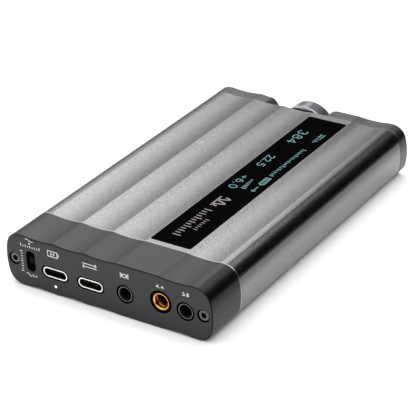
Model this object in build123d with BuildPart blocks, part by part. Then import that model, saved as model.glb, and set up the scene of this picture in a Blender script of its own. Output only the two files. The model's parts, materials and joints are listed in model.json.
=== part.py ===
from build123d import *
import os
from math import sqrt

# Desktop DAC and headphone amplifier: a flat scalloped aluminium case with a socket end and a knob end.
# Millimetres. The origin is on the standing surface, under the middle of the outer box.
# +X points right for someone facing the knob end, +Y runs from the knob end to the socket end, +Z is up.

# ---------------------------------------------------------------- driving dimensions
body_width = 75.0
body_height = 17.7
body_length = 121.2            # socket face to knob-end face, without the knob
knob_proud = 1.6               # the knob stands this far out of the knob-end face
rear_cap_length = 15.45
front_cap_length = 4.8
shoulder = 6.6                 # width of each rounded side, seen from the end
scallop_pitch = 11.7
scallop_depth = 0.42
display_flat = 15.0
crest_radius = 1.6
side_radius = 21.3             # each rounded side is three arcs, each tangent to the next
corner_radius = 4.9
shoulder_radius = 13.9
side_wall = 1.6
floor_wall = 1.9
edge_chamfer = 0.3

half_width = body_width / 2
half_height = body_height / 2
mid_height = body_height / 2
rear_face = (body_length + knob_proud) / 2
front_face = rear_face - body_length
rear_seam = rear_face - rear_cap_length
front_seam = front_face + front_cap_length
outer_crest = half_width - shoulder
cavity_width = body_width - 2 * side_wall
cavity_height = body_height - 2 * floor_wall
cavity_top = body_height - floor_wall

# circuit boards
board_top = 5.85
board_thickness = 1.6
board_width = 67.2
board_rear = rear_face - 3.0
board_front = -56.4
control_board_face = -48.3     # the side that carries the volume encoder
control_board_thickness = 1.0

# end caps and screws
rear_plate = 2.4
front_plate = 2.0
tongue_length = 3.0
tongue_width = 15.0
tongue_xs = (-18.0, 18.0)
tongue_root = 0.6              # extra thickness where a tongue joins its cap
screw_x = 34.3
screw_port_radius = 2.4
screw_radius = 0.95
screw_head_radius = 1.65
screw_head_height = 1.6
screw_head_sunk = 0.35
screw_hex = 1.8
screw_recess_radius = 2.15
thread_gap = 0.02

# display
glass_width = 14.4
glass_length = 95.6
glass_thickness = 0.8
glass_recess = 1.0
glass_x = -half_width + shoulder + scallop_pitch + display_flat / 2
glass_y = rear_face - 17.4 - glass_length / 2
glass_corner = 0.7
panel_size = (12.4, 56.0, 1.4)
panel_y = -18.0

# sockets on the socket end: (x, z)
usb_power_at = (19.0, 7.5)
usb_data_at = (5.8, 7.5)
digital_jack_at = (-6.85, 8.0)
balanced_jack_at = (-19.6, 9.2)
line_jack_at = (-28.15, 8.5)
rear_switch_at = (28.0, 9.35)
status_light_at = (19.2, 2.95)
usb_shell_size = (8.94, 3.26)
usb_wall = 0.35
usb_shell_length = 7.5
usb_hole_size = (10.2, 4.3)
jack_bore_radius = 1.8         # takes a 3.5 mm plug
jack_ring_radius = 2.6
jack_hole_radius = 3.1
jack_housing = (6.4, 5.4, 12.0)
balanced_bore_radius = 2.25    # takes a 4.4 mm plug
balanced_ring_radius = 3.05
balanced_hole_radius = 3.8
balanced_housing = (8.2, 7.2, 14.0)
jack_inset = 0.15              # the rings sit this far inside the face
ring_chamfer = 0.25
mouth_flare = 0.42             # the countersink in the mouth of a 3.5 mm socket

# knob end
knob_radius = 9.2
knob_axis_z = 9.3
knob_back = front_seam - 0.8
knob_front_fillet = 0.8
knob_back_chamfer = 0.4
recess_span = (-11.55, 17.15)  # the thumb recess round the knob: where its rounded sides start
recess_rounding = 5.1
knob_clearance = 0.6
dish_back_wall = 1.6
dish_boss = (1.4, 15.6)
headphone_jack_at = (-18.6, 8.5)
balanced_headphone_at = (-27.2, 9.2)
button_xs = {"power": 22.8, "input": 28.5}
button_radius = 1.9
button_gap = 0.08
button_proud = 0.5

# slide switches
switch_slot = (3.4, 7.1)
switch_nub = (2.5, 2.4)
switch_travel = 4.0
match_switch_at = (glass_x, -36.0)
match_slot = (3.2, 7.2)

os.makedirs("parts", exist_ok=True)


# ---------------------------------------------------------------- shared planes and profiles
def section_plane(y):
    """Cross-section of the body at y: local x is X, local y is height above the middle."""
    return Plane(origin=(0, y, mid_height), x_dir=(1, 0, 0), z_dir=(0, -1, 0))


def mouth_plane(x, y, z, outward):
    """Plane of a feature on an end face: outward is +1 on the socket end and -1 on the knob end."""
    return Plane(origin=(x, y, z), x_dir=(-outward, 0, 0), z_dir=(0, outward, 0))


# Outline of the body: rounded sides, scallops and one flat strip, the same above and below.
crest_xs = [-outer_crest]
for step in (scallop_pitch, display_flat, scallop_pitch, scallop_pitch, scallop_pitch):
    crest_xs.append(crest_xs[-1] + step)

side_centre = Vector(half_width - side_radius, 0)
shoulder_centre = Vector(outer_crest, half_height - shoulder_radius)
centre_line = shoulder_centre - side_centre
reach = side_radius - corner_radius
along = (reach**2 - (shoulder_radius - corner_radius) ** 2 + centre_line.length**2) / (2 * centre_line.length)
across = sqrt(reach**2 - along**2)
direction = centre_line.normalized()
corner_centre = side_centre + direction * along + direction.rotate(Axis.Z, 90) * across
to_side = (corner_centre - side_centre).normalized()
to_shoulder = (corner_centre - shoulder_centre).normalized()
side_end = side_centre + to_side * side_radius
shoulder_end = shoulder_centre + to_shoulder * shoulder_radius
corner_middle = corner_centre + (to_side + to_shoulder).normalized() * corner_radius

with BuildSketch() as body_profile:
    with BuildLine():
        for side in (-1, 1):
            ThreePointArc(
                (side * side_end.X, -side_end.Y),
                (side * half_width, 0),
                (side * side_end.X, side_end.Y),
            )
            for up in (-1, 1):
                ThreePointArc(
                    (side * side_end.X, up * side_end.Y),
                    (side * corner_middle.X, up * corner_middle.Y),
                    (side * shoulder_end.X, up * shoulder_end.Y),
                )
                TangentArc(
                    (side * outer_crest, up * half_height),
                    (side * shoulder_end.X, up * shoulder_end.Y),
                    tangent=(side, 0),
                )
        for left, right in zip(crest_xs, crest_xs[1:]):
            for up in (-1, 1):
                start, end = (left, up * half_height), (right, up * half_height)
                if right - left > scallop_pitch + 1:
                    Line(start, end)
                else:
                    valley = ((left + right) / 2, up * (half_height - scallop_depth))
                    ThreePointArc(start, valley, end)
    make_face()
    fillet([v for v in body_profile.vertices() if abs(v.X) < outer_crest - 1], crest_radius)
    fillet([v for v in body_profile.vertices() if abs(abs(v.X) - outer_crest) < 0.01], crest_radius)

with BuildSketch() as cavity_profile:
    RectangleRounded(cavity_width, cavity_height, cavity_height / 2 - 0.05)


screw_places = [(-screw_x, 0), (screw_x, 0)]

# strips on both end caps that slide inside the case, above and below: low and high edge
tongue_spans = [(floor_wall + 0.06, floor_wall + 1.2), (cavity_top - 1.3, cavity_top - 0.06)]


def body_block(front_y, rear_y, front_edge, rear_edge):
    """A solid length of the body's outline, with a small chamfer round each end."""
    with BuildPart() as block:
        with BuildSketch(section_plane(rear_y)):
            add(body_profile.sketch)
        extrude(amount=rear_y - front_y)
        chamfer(block.faces().sort_by(Axis.Y)[0].outer_wire().edges(), front_edge)
        chamfer(block.faces().sort_by(Axis.Y)[-1].outer_wire().edges(), rear_edge)
    return block.part


# ---------------------------------------------------------------- case
tube_block = body_block(front_seam, rear_seam, edge_chamfer, edge_chamfer)
rail_top = board_top - board_thickness - 0.05
rail_x = board_width / 2 + 0.4
with BuildPart() as tube_case:
    add(tube_block)
    with BuildSketch(section_plane(rear_seam)):
        add(cavity_profile.sketch)
        with Locations(screw_places):
            Circle(screw_port_radius, mode=Mode.SUBTRACT)
        # rails under both edges of the main board
        with Locations((-rail_x, rail_top - 0.5 - mid_height), (rail_x, rail_top - 0.5 - mid_height)):
            Rectangle(3.2, 1.0, mode=Mode.SUBTRACT)
    extrude(amount=rear_seam - front_seam, mode=Mode.SUBTRACT)
    with BuildSketch(section_plane(rear_seam)):
        with Locations(screw_places):
            Circle(screw_radius + thread_gap)
    extrude(amount=rear_seam - front_seam, mode=Mode.SUBTRACT)
    # recess for the display glass, and a window in its floor for the display panel
    with BuildSketch(Plane.XY.offset(body_height)):
        with Locations((glass_x, glass_y)):
            RectangleRounded(glass_width + 0.1, glass_length + 0.1, glass_corner)
    extrude(amount=-glass_recess, mode=Mode.SUBTRACT)
    with BuildSketch(Plane.XY.offset(body_height - glass_recess)):
        with Locations((glass_x, panel_y)):
            Rectangle(panel_size[0] + 0.3, panel_size[1] + 0.3)
    extrude(amount=-floor_wall, mode=Mode.SUBTRACT)
    # slot for the slide switch underneath
    with BuildSketch(Plane.XY.offset(0)):
        with Locations(match_switch_at):
            RectangleRounded(match_slot[0], match_slot[1], 0.8)
    extrude(amount=floor_wall, mode=Mode.SUBTRACT)
tube_case.part.label = "tube_case"
export_step(tube_case.part, "parts/tube_case.step")


# ---------------------------------------------------------------- rear cap
rear_block = body_block(rear_seam, rear_face, edge_chamfer / 2, edge_chamfer)
with BuildPart() as rear_cap:
    add(rear_block)
    with BuildSketch(section_plane(rear_face - rear_plate)):
        add(cavity_profile.sketch)
        with Locations(screw_places):
            Circle(screw_port_radius, mode=Mode.SUBTRACT)
    extrude(amount=rear_cap_length, mode=Mode.SUBTRACT)
    for low, high in tongue_spans:
        with BuildSketch(Plane.XZ.offset(-rear_seam)):
            with Locations([(x, (low + high) / 2) for x in tongue_xs]):
                Rectangle(tongue_width, high - low)
        extrude(amount=tongue_length)
        with BuildSketch(Plane.XZ.offset(-rear_seam)):
            with Locations([(x, (low + high) / 2) for x in tongue_xs]):
                Rectangle(tongue_width, high - low + tongue_root)
        extrude(amount=-tongue_length)
    with BuildSketch(section_plane(rear_face)):
        with Locations(screw_places):
            Circle(screw_radius + 0.15)
    extrude(amount=rear_cap_length, mode=Mode.SUBTRACT)
    with BuildSketch(section_plane(rear_face)):
        with Locations(screw_places):
            Circle(screw_recess_radius)
    extrude(amount=screw_head_sunk + screw_head_height, mode=Mode.SUBTRACT)
    # socket, switch and light holes through the face
    with BuildSketch(Plane.XZ.offset(-rear_face)):
        for place in (usb_power_at, usb_data_at):
            with Locations(place):
                SlotOverall(*usb_hole_size)
        for place in (digital_jack_at, line_jack_at):
            with Locations(place):
                Circle(jack_hole_radius)
        with Locations(balanced_jack_at):
            Circle(balanced_hole_radius)
        with Locations(rear_switch_at):
            RectangleRounded(*switch_slot, 1.6)
        with Locations(status_light_at):
            Circle(0.45)
    extrude(amount=rear_plate, mode=Mode.SUBTRACT)
rear_cap.part.label = "rear_cap"
export_step(rear_cap.part, "parts/rear_cap.step")


# ---------------------------------------------------------------- front cap
front_block = body_block(front_face, front_seam, edge_chamfer, edge_chamfer / 2)
with BuildPart() as front_cap:
    add(front_block)
    with BuildSketch(section_plane(front_seam)):
        add(cavity_profile.sketch)
        with Locations(screw_places):
            Circle(screw_port_radius, mode=Mode.SUBTRACT)
        with Locations((dish_boss[0], 0)):
            Circle(dish_boss[1], mode=Mode.SUBTRACT)
    extrude(amount=front_cap_length - front_plate, mode=Mode.SUBTRACT)
    # the wall behind the dish, inside the case
    with BuildSketch(section_plane(front_seam)):
        add(cavity_profile.sketch)
        offset(amount=-0.08)
        with Locations((dish_boss[0], 0)):
            Circle(dish_boss[1], mode=Mode.INTERSECT)
    extrude(amount=-dish_back_wall)
    for low, high in tongue_spans:
        with BuildSketch(Plane.XZ.offset(-front_seam)):
            with Locations([(x, (low + high) / 2) for x in tongue_xs]):
                Rectangle(tongue_width, high - low)
        extrude(amount=-tongue_length)
        with BuildSketch(Plane.XZ.offset(-front_seam)):
            with Locations([(x, (low + high) / 2) for x in tongue_xs]):
                Rectangle(tongue_width, high - low + tongue_root)
        extrude(amount=front_cap_length - front_plate)
    # thumb recess around the knob, wider towards +X, with rounded shoulders on each side
    with BuildSketch(section_plane(front_seam)):
        with Locations((sum(recess_span) / 2, 0)):
            Rectangle(recess_span[1] - recess_span[0], body_height + 4)
        with Locations([(x, 0) for x in recess_span]):
            SlotOverall(body_height, 2 * recess_rounding, rotation=90, mode=Mode.SUBTRACT)
        with Locations((0, knob_axis_z - mid_height)):
            Circle(knob_radius + knob_clearance)
    extrude(amount=front_cap_length + 1, mode=Mode.SUBTRACT)
    # posts that carry the control board
    post_places = [(-9.7, 12.8 - mid_height), (9.7, 12.8 - mid_height)]
    with BuildSketch(section_plane(front_seam + dish_back_wall)):
        with Locations(post_places):
            Circle(1.7)
    extrude(amount=-(control_board_face - front_seam - dish_back_wall))
    with BuildSketch(section_plane(control_board_face)):
        with Locations(post_places):
            Circle(0.6)
    extrude(amount=3.6, mode=Mode.SUBTRACT)
    with BuildSketch(section_plane(front_seam)):
        with Locations(screw_places):
            Circle(screw_radius + 0.15)
    extrude(amount=front_cap_length, mode=Mode.SUBTRACT)
    with BuildSketch(section_plane(front_face)):
        with Locations(screw_places):
            Circle(screw_recess_radius)
    extrude(amount=-(screw_head_sunk + screw_head_height), mode=Mode.SUBTRACT)
    with BuildSketch(Plane.XZ.offset(-front_face)):
        with Locations(headphone_jack_at):
            Circle(jack_hole_radius)
        with Locations(balanced_headphone_at):
            Circle(balanced_hole_radius)
        with Locations([(x, mid_height) for x in button_xs.values()]):
            Circle(button_radius + button_gap)
    extrude(amount=-front_plate, mode=Mode.SUBTRACT)
    # hole for the encoder's threaded neck
    with BuildSketch(Plane.XZ.offset(-front_seam)):
        with Locations((0, knob_axis_z)):
            Circle(3.6)
    extrude(amount=-dish_back_wall, mode=Mode.SUBTRACT)
front_cap.part.label = "front_cap"
export_step(front_cap.part, "parts/front_cap.step")


# ---------------------------------------------------------------- display
glass_floor = body_height - glass_recess
glass_bottom = body_height - 0.03 - glass_thickness

with BuildPart() as display_glass:
    with BuildSketch(Plane.XY.offset(glass_bottom)):
        with Locations((glass_x, glass_y)):
            RectangleRounded(glass_width, glass_length, glass_corner)
    extrude(amount=glass_thickness)
    chamfer(display_glass.faces().sort_by(Axis.Z)[-1].outer_wire().edges(), 0.12)
display_glass.part.label = "display_glass"
export_step(display_glass.part, "parts/display_glass.step")

with BuildPart() as display_gasket:
    with BuildSketch(Plane.XY.offset(glass_floor)):
        with Locations((glass_x, glass_y)):
            RectangleRounded(glass_width - 0.1, glass_length - 0.1, glass_corner)
        with Locations((glass_x, panel_y)):
            Rectangle(panel_size[0] + 0.3, panel_size[1] + 0.3, mode=Mode.SUBTRACT)
    extrude(amount=glass_bottom - glass_floor)
display_gasket.part.label = "display_gasket"
export_step(display_gasket.part, "parts/display_gasket.step")

panel_top = glass_bottom - 0.05
panel_bottom = panel_top - panel_size[2]
with BuildPart() as display_panel:
    with BuildSketch(Plane.XY.offset(panel_bottom)):
        with Locations((glass_x, panel_y)):
            Rectangle(panel_size[0], panel_size[1])
    extrude(amount=panel_size[2])
    chamfer(display_panel.edges().filter_by(Axis.Z), 0.4)
display_panel.part.label = "display_panel"
export_step(display_panel.part, "parts/display_panel.step")

# flat cable from the panel's end down to its connector on the main board
flex_start = panel_y + panel_size[1] / 2
flex_connector_y = flex_start + 9.0
connector_height = 1.4
with BuildPart() as display_flex:
    with BuildSketch(Plane.YZ.offset(glass_x - 4)):
        with BuildLine():
            FilletPolyline(
                (flex_start - 2.0, panel_bottom - 0.15),
                (flex_start + 5.0, panel_bottom - 0.15),
                (flex_start + 3.5, board_top + 0.9),
                (flex_connector_y - 1.2, board_top + 0.9),
                radius=1.0,
            )
        trace(line_width=0.2)
    extrude(amount=8)
display_flex.part.label = "display_flex"
export_step(display_flex.part, "parts/display_flex.step")

with BuildPart() as display_connector:
    with BuildSketch(Plane.XY.offset(board_top)):
        with Locations((glass_x, flex_connector_y + 0.6)):
            Rectangle(10, 3.6)
    extrude(amount=connector_height)
    with BuildSketch(Plane.XY.offset(board_top + 0.7)):
        with Locations((glass_x, flex_connector_y - 0.6)):
            Rectangle(8.3, 1.4)
    extrude(amount=0.4, mode=Mode.SUBTRACT)
display_connector.part.label = "display_connector"
export_step(display_connector.part, "parts/display_connector.step")


# ---------------------------------------------------------------- circuit boards
with BuildPart() as main_board:
    with BuildSketch(Plane.XY.offset(board_top - board_thickness)):
        with Locations((0, (board_rear + board_front) / 2)):
            RectangleRounded(board_width, board_rear - board_front, 1.0)
        # cut back behind the control board and the dish
        control_notch = control_board_face + control_board_thickness + 0.4
        notch_left = dish_boss[0] - dish_boss[1] - 0.4
        with Locations((notch_left, board_front)):
            Rectangle(
                board_width,
                control_notch - board_front,
                align=(Align.MIN, Align.MIN),
                mode=Mode.SUBTRACT,
            )
        # room for the rear slide switch
        with Locations((rear_switch_at[0], board_rear)):
            Rectangle(4.2, 10.8, mode=Mode.SUBTRACT)
        # plated mounting holes
        with Locations((-30, -10), (30, -10), (-30, 44), (12, 44)):
            Circle(1.1, mode=Mode.SUBTRACT)
    extrude(amount=board_thickness)
main_board.part.label = "main_board"
export_step(main_board.part, "parts/main_board.step")

control_board_span = (-12.4, 31.0)
with BuildPart() as control_board:
    with BuildSketch(section_plane(control_board_face)):
        with Locations((sum(control_board_span) / 2, 0)):
            RectangleRounded(control_board_span[1] - control_board_span[0], 12.0, 0.8)
        with Locations(post_places):
            Circle(0.85, mode=Mode.SUBTRACT)
    extrude(amount=-control_board_thickness)
control_board.part.label = "control_board"
export_step(control_board.part, "parts/control_board.step")

control_board_back = control_board_face + control_board_thickness
with BuildPart() as control_board_screws:
    with BuildSketch(section_plane(control_board_back)):
        with Locations(post_places):
            Circle(1.4)
    extrude(amount=-0.9)
    with BuildSketch(section_plane(control_board_back)):
        with Locations(post_places):
            Circle(0.58)
    extrude(amount=4.0)
    with BuildSketch(section_plane(control_board_back + 0.9)):
        with Locations(post_places):
            Rectangle(1.6, 0.35)
            Rectangle(0.35, 1.6)
    extrude(amount=0.5, mode=Mode.SUBTRACT)
control_board_screws.part.label = "control_board_screws"
export_step(control_board_screws.part, "parts/control_board_screws.step")

# right-angle header that joins the two boards
with BuildPart() as board_link:
    with BuildSketch(Plane.XY.offset(board_top)):
        with Locations((22, control_notch + 2.6)):
            Rectangle(11, 4.0)
    extrude(amount=2.4)
    with BuildSketch(section_plane(control_board_back + 0.02)):
        with Locations([(22 + 1.27 * i, board_top + 1.2 - mid_height) for i in range(-3, 4)]):
            Rectangle(0.5, 0.5)
    extrude(amount=-(control_notch + 1.2 - control_board_back))
board_link.part.label = "board_link"
export_step(board_link.part, "parts/board_link.step")


# ---------------------------------------------------------------- battery
battery_size = (29.4, 60.0, 6.4)
battery_centre = (16.6, -7.0)
battery_bottom = 8.5
with BuildPart() as battery_cell:
    with BuildSketch(Plane.XY.offset(battery_bottom)):
        with Locations(battery_centre):
            RectangleRounded(battery_size[0], battery_size[1], 1.5)
    extrude(amount=battery_size[2])
    fillet(battery_cell.edges().filter_by(Axis.Y), 2.2)
battery_cell.part.label = "battery_cell"
export_step(battery_cell.part, "parts/battery_cell.step")

battery_top = battery_bottom + battery_size[2]
with BuildPart() as battery_tape:
    with BuildSketch(Plane.XY.offset(battery_top)):
        with Locations(battery_centre):
            Rectangle(20, 48)
    extrude(amount=cavity_top - battery_top)
battery_tape.part.label = "battery_tape"
export_step(battery_tape.part, "parts/battery_tape.step")

battery_end = battery_centre[1] + battery_size[1] / 2
battery_plug_y = battery_end + 7.0
battery_plug_z = board_top + 2.2
with BuildPart() as battery_connector:
    with BuildSketch(Plane.XY.offset(board_top)):
        with Locations((battery_centre[0], battery_plug_y + 2.5)):
            Rectangle(7.0, 5.0)
    extrude(amount=4.4)
    chamfer(battery_connector.edges().filter_by(Axis.Z), 0.4)
battery_connector.part.label = "battery_connector"
export_step(battery_connector.part, "parts/battery_connector.step")


def battery_lead(x):
    """One insulated wire from the cell's end to its plug on the main board."""
    with BuildPart() as lead:
        with BuildLine() as route:
            FilletPolyline(
                (x, battery_end, battery_bottom + 3.2),
                (x, battery_end + 3.0, battery_bottom + 3.2),
                (x, battery_end + 4.6, battery_plug_z),
                (x, battery_plug_y, battery_plug_z),
                radius=1.2,
            )
        with BuildSketch(Plane(origin=route.line @ 0, z_dir=route.line % 0)):
            Circle(0.6)
        sweep()
    return lead


battery_lead_positive = battery_lead(battery_centre[0] + 1.25)
battery_lead_positive.part.label = "battery_lead_positive"
export_step(battery_lead_positive.part, "parts/battery_lead_positive.step")

battery_lead_negative = battery_lead(battery_centre[0] - 1.25)
battery_lead_negative.part.label = "battery_lead_negative"
export_step(battery_lead_negative.part, "parts/battery_lead_negative.step")


# ---------------------------------------------------------------- USB-C sockets
usb_mouth_y = rear_face - 0.1


def usb_shell(place):
    """Folded steel shell: a flat-sided tube with round ends, open at the mouth."""
    with BuildPart() as shell:
        with BuildSketch(mouth_plane(place[0], usb_mouth_y, place[1], 1)):
            SlotOverall(*usb_shell_size)
            SlotOverall(usb_shell_size[0] - 2 * usb_wall, usb_shell_size[1] - 2 * usb_wall, mode=Mode.SUBTRACT)
        extrude(amount=-usb_shell_length)
    return shell


def usb_insulator(place):
    """Plastic block that closes the shell's back and carries the contact tongue."""
    block_length = 2.2
    inner = (usb_shell_size[0] - 2 * usb_wall - 0.04, usb_shell_size[1] - 2 * usb_wall - 0.04)
    with BuildPart() as insulator:
        with BuildSketch(mouth_plane(place[0], usb_mouth_y - usb_shell_length, place[1], 1)):
            SlotOverall(*inner)
        extrude(amount=block_length)
        with BuildSketch(mouth_plane(place[0], usb_mouth_y - usb_shell_length, place[1], 1)):
            RectangleRounded(6.7, 0.7, 0.3)
        extrude(amount=usb_shell_length - 0.9)
    return insulator


usb_power_shell = usb_shell(usb_power_at)
usb_power_shell.part.label = "usb_power_shell"
export_step(usb_power_shell.part, "parts/usb_power_shell.step")

usb_data_shell = usb_shell(usb_data_at)
usb_data_shell.part.label = "usb_data_shell"
export_step(usb_data_shell.part, "parts/usb_data_shell.step")

usb_power_insulator = usb_insulator(usb_power_at)
usb_power_insulator.part.label = "usb_power_insulator"
export_step(usb_power_insulator.part, "parts/usb_power_insulator.step")

usb_data_insulator = usb_insulator(usb_data_at)
usb_data_insulator.part.label = "usb_data_insulator"
export_step(usb_data_insulator.part, "parts/usb_data_insulator.step")


# ---------------------------------------------------------------- round sockets
def round_socket(place, outward, plate, bore_radius, ring_radius, housing, ring_separate=False):
    """Socket body: a housing that stands on the main board, and a round neck through the end face."""
    width, height, length = housing
    face = rear_face if outward > 0 else front_face
    mouth = face - outward * jack_inset
    housing_front = face - outward * (plate + 0.1)
    neck_start = housing_front + outward * 0.6 if ring_separate else mouth
    drop = height / 2 + board_top - place[1]
    with BuildPart() as socket:
        with BuildSketch(mouth_plane(place[0], housing_front, place[1], outward)):
            with Locations((0, drop)):
                Rectangle(width, height)
        extrude(amount=-length)
        chamfer(socket.edges().filter_by(Axis.Y), 0.3)
        with BuildSketch(mouth_plane(place[0], neck_start, place[1], outward)):
            Circle(ring_radius)
        extrude(amount=-abs(neck_start - housing_front) - 0.5)
        if not ring_separate:
            chamfer(socket.edges().filter_by(GeomType.CIRCLE).sort_by(Axis.Y)[-1 if outward > 0 else 0], 0.15)
        with BuildSketch(mouth_plane(place[0], mouth, place[1], outward)):
            Circle(bore_radius)
        extrude(amount=-(length - 0.4), mode=Mode.SUBTRACT)
        if not ring_separate:
            rim = socket.edges().filter_by(GeomType.CIRCLE)
            rim = rim.group_by(Axis.Y)[-1 if outward > 0 else 0].sort_by(SortBy.RADIUS)[0]
            chamfer(rim, mouth_flare)
    return socket


def socket_ring(place, outward, plate, bore_radius, ring_radius):
    """Plated ring that forms the mouth of a balanced socket."""
    face = rear_face if outward > 0 else front_face
    mouth = face - outward * jack_inset
    neck_start = face - outward * (plate + 0.1 - 0.6)
    with BuildPart() as ring:
        with BuildSketch(mouth_plane(place[0], mouth, place[1], outward)):
            Circle(ring_radius)
            Circle(bore_radius, mode=Mode.SUBTRACT)
        extrude(amount=-abs(neck_start - mouth))
        chamfer(ring.edges().group_by(Axis.Y)[-1 if outward > 0 else 0], ring_chamfer)
    return ring


phone_neck = (jack_bore_radius, jack_ring_radius, jack_housing)
balanced_neck = (balanced_bore_radius, balanced_ring_radius, balanced_housing)

digital_jack = round_socket(digital_jack_at, 1, rear_plate, *phone_neck)
digital_jack.part.label = "digital_jack"
export_step(digital_jack.part, "parts/digital_jack.step")

line_jack = round_socket(line_jack_at, 1, rear_plate, *phone_neck)
line_jack.part.label = "line_jack"
export_step(line_jack.part, "parts/line_jack.step")

headphone_jack = round_socket(headphone_jack_at, -1, front_plate, *phone_neck)
headphone_jack.part.label = "headphone_jack"
export_step(headphone_jack.part, "parts/headphone_jack.step")

balanced_line_jack = round_socket(balanced_jack_at, 1, rear_plate, *balanced_neck, True)
balanced_line_jack.part.label = "balanced_line_jack"
export_step(balanced_line_jack.part, "parts/balanced_line_jack.step")

balanced_line_ring = socket_ring(balanced_jack_at, 1, rear_plate, *balanced_neck[:2])
balanced_line_ring.part.label = "balanced_line_ring"
export_step(balanced_line_ring.part, "parts/balanced_line_ring.step")

balanced_headphone_jack = round_socket(balanced_headphone_at, -1, front_plate, *balanced_neck, True)
balanced_headphone_jack.part.label = "balanced_headphone_jack"
export_step(balanced_headphone_jack.part, "parts/balanced_headphone_jack.step")

balanced_headphone_ring = socket_ring(balanced_headphone_at, -1, front_plate, *balanced_neck[:2])
balanced_headphone_ring.part.label = "balanced_headphone_ring"
export_step(balanced_headphone_ring.part, "parts/balanced_headphone_ring.step")


# ---------------------------------------------------------------- rear slide switch
switch_rest_z = rear_switch_at[1]    # the middle of its three places
switch_front = rear_face - rear_plate - 0.15
switch_body_size = (3.9, 10.4, 5.0)
slider_base = (2.8, 4.4, 0.8)
with BuildPart() as eq_switch_body:
    with BuildSketch(mouth_plane(rear_switch_at[0], switch_front, rear_switch_at[1], 1)):
        Rectangle(switch_body_size[0], switch_body_size[1])
    extrude(amount=-switch_body_size[2])
    with BuildSketch(mouth_plane(rear_switch_at[0], switch_front, rear_switch_at[1], 1)):
        Rectangle(slider_base[0] + 0.1, slider_base[1] + switch_travel + 0.4)
    extrude(amount=-(slider_base[2] + 0.5), mode=Mode.SUBTRACT)
eq_switch_body.part.label = "eq_switch_body"
export_step(eq_switch_body.part, "parts/eq_switch_body.step")

with BuildPart() as eq_switch_slider:
    with BuildSketch(mouth_plane(rear_switch_at[0], switch_front - 0.2, switch_rest_z, 1)):
        Rectangle(slider_base[0], slider_base[1])
    extrude(amount=-slider_base[2])
    with BuildSketch(mouth_plane(rear_switch_at[0], switch_front - 0.2, switch_rest_z, 1)):
        RectangleRounded(switch_nub[0], switch_nub[1], 0.9)
    extrude(amount=rear_face - 0.5 - switch_front + 0.2)
    fillet(eq_switch_slider.faces().sort_by(Axis.Y)[-1].edges(), 0.6)
eq_switch_slider.part.label = "eq_switch_slider"
export_step(eq_switch_slider.part, "parts/eq_switch_slider.step")


# ---------------------------------------------------------------- match switch under the case
match_body_top = board_top - board_thickness
match_body_bottom = floor_wall + 0.05
match_base = (2.4, 4.2, 0.7)
match_base_bottom = match_body_bottom + 0.15
with BuildPart() as match_switch_body:
    with BuildSketch(Plane.XY.offset(match_body_bottom)):
        with Locations(match_switch_at):
            Rectangle(4.4, 10.6)
    extrude(amount=match_body_top - match_body_bottom)
    with BuildSketch(Plane.XY.offset(match_body_bottom)):
        with Locations(match_switch_at):
            Rectangle(match_base[0] + 0.1, match_base[1] + switch_travel + 0.4)
    extrude(amount=match_base[2] + 0.3, mode=Mode.SUBTRACT)
match_switch_body.part.label = "match_switch_body"
export_step(match_switch_body.part, "parts/match_switch_body.step")

with BuildPart() as match_switch_slider:
    with BuildSketch(Plane.XY.offset(match_base_bottom)):
        with Locations(match_switch_at):
            Rectangle(match_base[0], match_base[1])
    extrude(amount=match_base[2])
    with BuildSketch(Plane.XY.offset(match_base_bottom)):
        with Locations(match_switch_at):
            RectangleRounded(2.2, 2.8, 0.4)
    extrude(amount=-(match_base_bottom - 0.5))
    # three finger ribs across the nub
    with BuildSketch(Plane.XY.offset(0.5)):
        with Locations([(match_switch_at[0], match_switch_at[1] + step) for step in (-0.8, 0, 0.8)]):
            Rectangle(2.2, 0.3)
    extrude(amount=0.25, mode=Mode.SUBTRACT)
match_switch_slider.part.label = "match_switch_slider"
export_step(match_switch_slider.part, "parts/match_switch_slider.step")


# ---------------------------------------------------------------- volume encoder and knob
encoder_front = front_seam + dish_back_wall + 0.05
encoder_size = 12.2
shaft_radius = 2.95
rotor_radius = 4.3
rotor_y = encoder_front + 1.5
rotor_thickness = 1.0
plunger_y = rotor_y + rotor_thickness + 0.1
with BuildPart() as encoder_body:
    with BuildSketch(section_plane(control_board_face)):
        with Locations((0, knob_axis_z - mid_height)):
            RectangleRounded(encoder_size, encoder_size, 0.6)
    extrude(amount=control_board_face - encoder_front)
    with BuildSketch(section_plane(encoder_front)):
        with Locations((0, knob_axis_z - mid_height)):
            Circle(3.5)
    extrude(amount=3.2)
    # room inside for the rotor and the push plunger
    with BuildSketch(section_plane(control_board_face - 0.5)):
        with Locations((0, knob_axis_z - mid_height)):
            Circle(rotor_radius + 0.3)
    extrude(amount=control_board_face - 0.5 - encoder_front - 1.0, mode=Mode.SUBTRACT)
    with BuildSketch(section_plane(encoder_front + 1.5)):
        with Locations((0, knob_axis_z - mid_height)):
            Circle(shaft_radius + 0.05)
    extrude(amount=5.0, mode=Mode.SUBTRACT)
encoder_body.part.label = "encoder_body"
export_step(encoder_body.part, "parts/encoder_body.step")

with BuildPart() as encoder_nut:
    with BuildSketch(section_plane(front_seam)):
        with Locations((0, knob_axis_z - mid_height)):
            RegularPolygon(5.0, 6, major_radius=False)
            Circle(3.52, mode=Mode.SUBTRACT)
    extrude(amount=1.3)
encoder_nut.part.label = "encoder_nut"
export_step(encoder_nut.part, "parts/encoder_nut.step")

with BuildPart() as encoder_shaft:
    with BuildSketch(section_plane(rotor_y + rotor_thickness)):
        with Locations((0, knob_axis_z - mid_height)):
            Circle(rotor_radius)
    extrude(amount=rotor_thickness)
    with BuildSketch(section_plane(rotor_y)):
        with Locations((0, knob_axis_z - mid_height)):
            Circle(shaft_radius)
    extrude(amount=rotor_y + 60.2)
encoder_shaft.part.label = "encoder_shaft"
export_step(encoder_shaft.part, "parts/encoder_shaft.step")

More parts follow.
